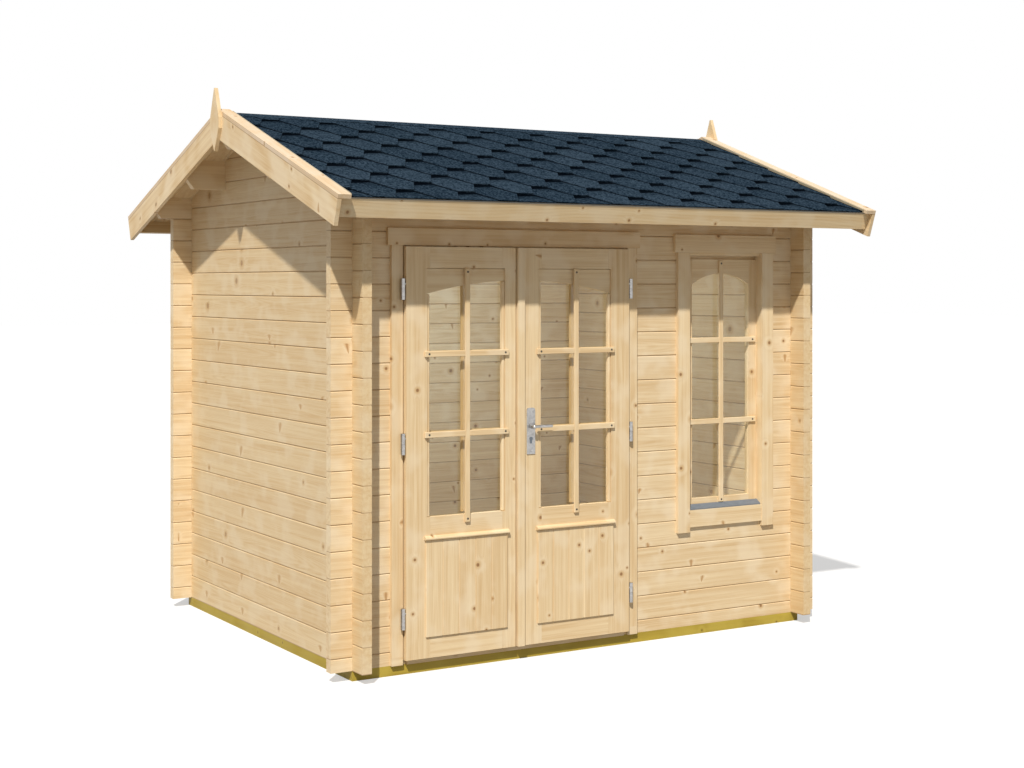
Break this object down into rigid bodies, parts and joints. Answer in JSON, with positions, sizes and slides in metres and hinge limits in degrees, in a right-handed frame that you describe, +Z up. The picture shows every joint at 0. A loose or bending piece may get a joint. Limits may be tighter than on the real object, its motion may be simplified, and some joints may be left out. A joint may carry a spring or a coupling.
{
  "type": "garden log cabin",
  "caption": "Small garden log cabin with crossed log corners, a shingled gable roof, glazed double doors that swing out and a tall arched window.",
  "frame": {"origin": "middle of the ground plan at ground level, the underside of the base beams", "axes": "+X along the ridge to the right as seen from the doors, +Y from the doors to the back, +Z up"},
  "size_m": [2.946, 2.6988, 2.6239],
  "materials": {
    "spruce": "planed, untreated",
    "treated_wood": "sawn, impregnated",
    "roofing": "bitumen with slate granules",
    "steel": "zinc plated",
    "glazing": "clear"
  },
  "bodies": {
    "cabin": {"base_beams_long": "treated_wood", "base_beams_cross": "treated_wood", "floor_boards": "spruce", "front_wall_left": "spruce", "front_wall_middle": "spruce", "front_wall_sill": "spruce", "front_wall_right": "spruce", "front_wall_top": "spruce", "back_wall": "spruce", "left_wall": "spruce", "right_wall": "spruce", "eave_logs": "spruce", "purlins": "spruce", "roof_boards_front": "spruce", "roof_boards_back": "spruce", "roofing_front": "roofing", "roofing_back": "roofing", "fascias": "spruce", "bargeboards": "spruce", "verge_caps": "spruce", "finials": "spruce", "door_frame": "spruce", "door_casing": "spruce", "frame_hinges": "steel", "window_frame": "spruce", "window_sash": "spruce", "window_glass": "glazing", "window_casing": "spruce", "window_drip_bar": "steel"},
    "left_leaf": {"left_leaf_stiles": "spruce", "left_leaf_rails": "spruce", "left_leaf_arch": "spruce", "left_leaf_panel": "spruce", "left_leaf_glass": "glazing", "left_leaf_hinges": "steel"},
    "right_leaf": {"right_leaf_stiles": "spruce", "right_leaf_rails": "spruce", "right_leaf_arch": "spruce", "right_leaf_panel": "spruce", "right_leaf_glass": "glazing", "right_leaf_hinges": "steel", "cover_strip": "spruce", "lock_plates": "steel"},
    "lever": {"lever_handle": "steel"}
  },
  "joints": [
    {"name": "left_leaf_hinge", "type": "hinge", "parent": "cabin", "child": "left_leaf", "pos_m": [-1.009, -1.044, 0.9], "axis": [0, 0, -1], "range_deg": [0, 110]},
    {"name": "right_leaf_hinge", "type": "hinge", "parent": "cabin", "child": "right_leaf", "pos_m": [0.189, -1.044, 0.9], "axis": [0, 0, 1], "range_deg": [0, 110]},
    {"name": "lever_turn", "type": "hinge", "parent": "right_leaf", "child": "lever", "pos_m": [-0.366, -1.05, 1.055], "axis": [0, 1, 0], "range_deg": [0, 40], "stiffness_Nm_per_rad": 1.5}
  ]
}
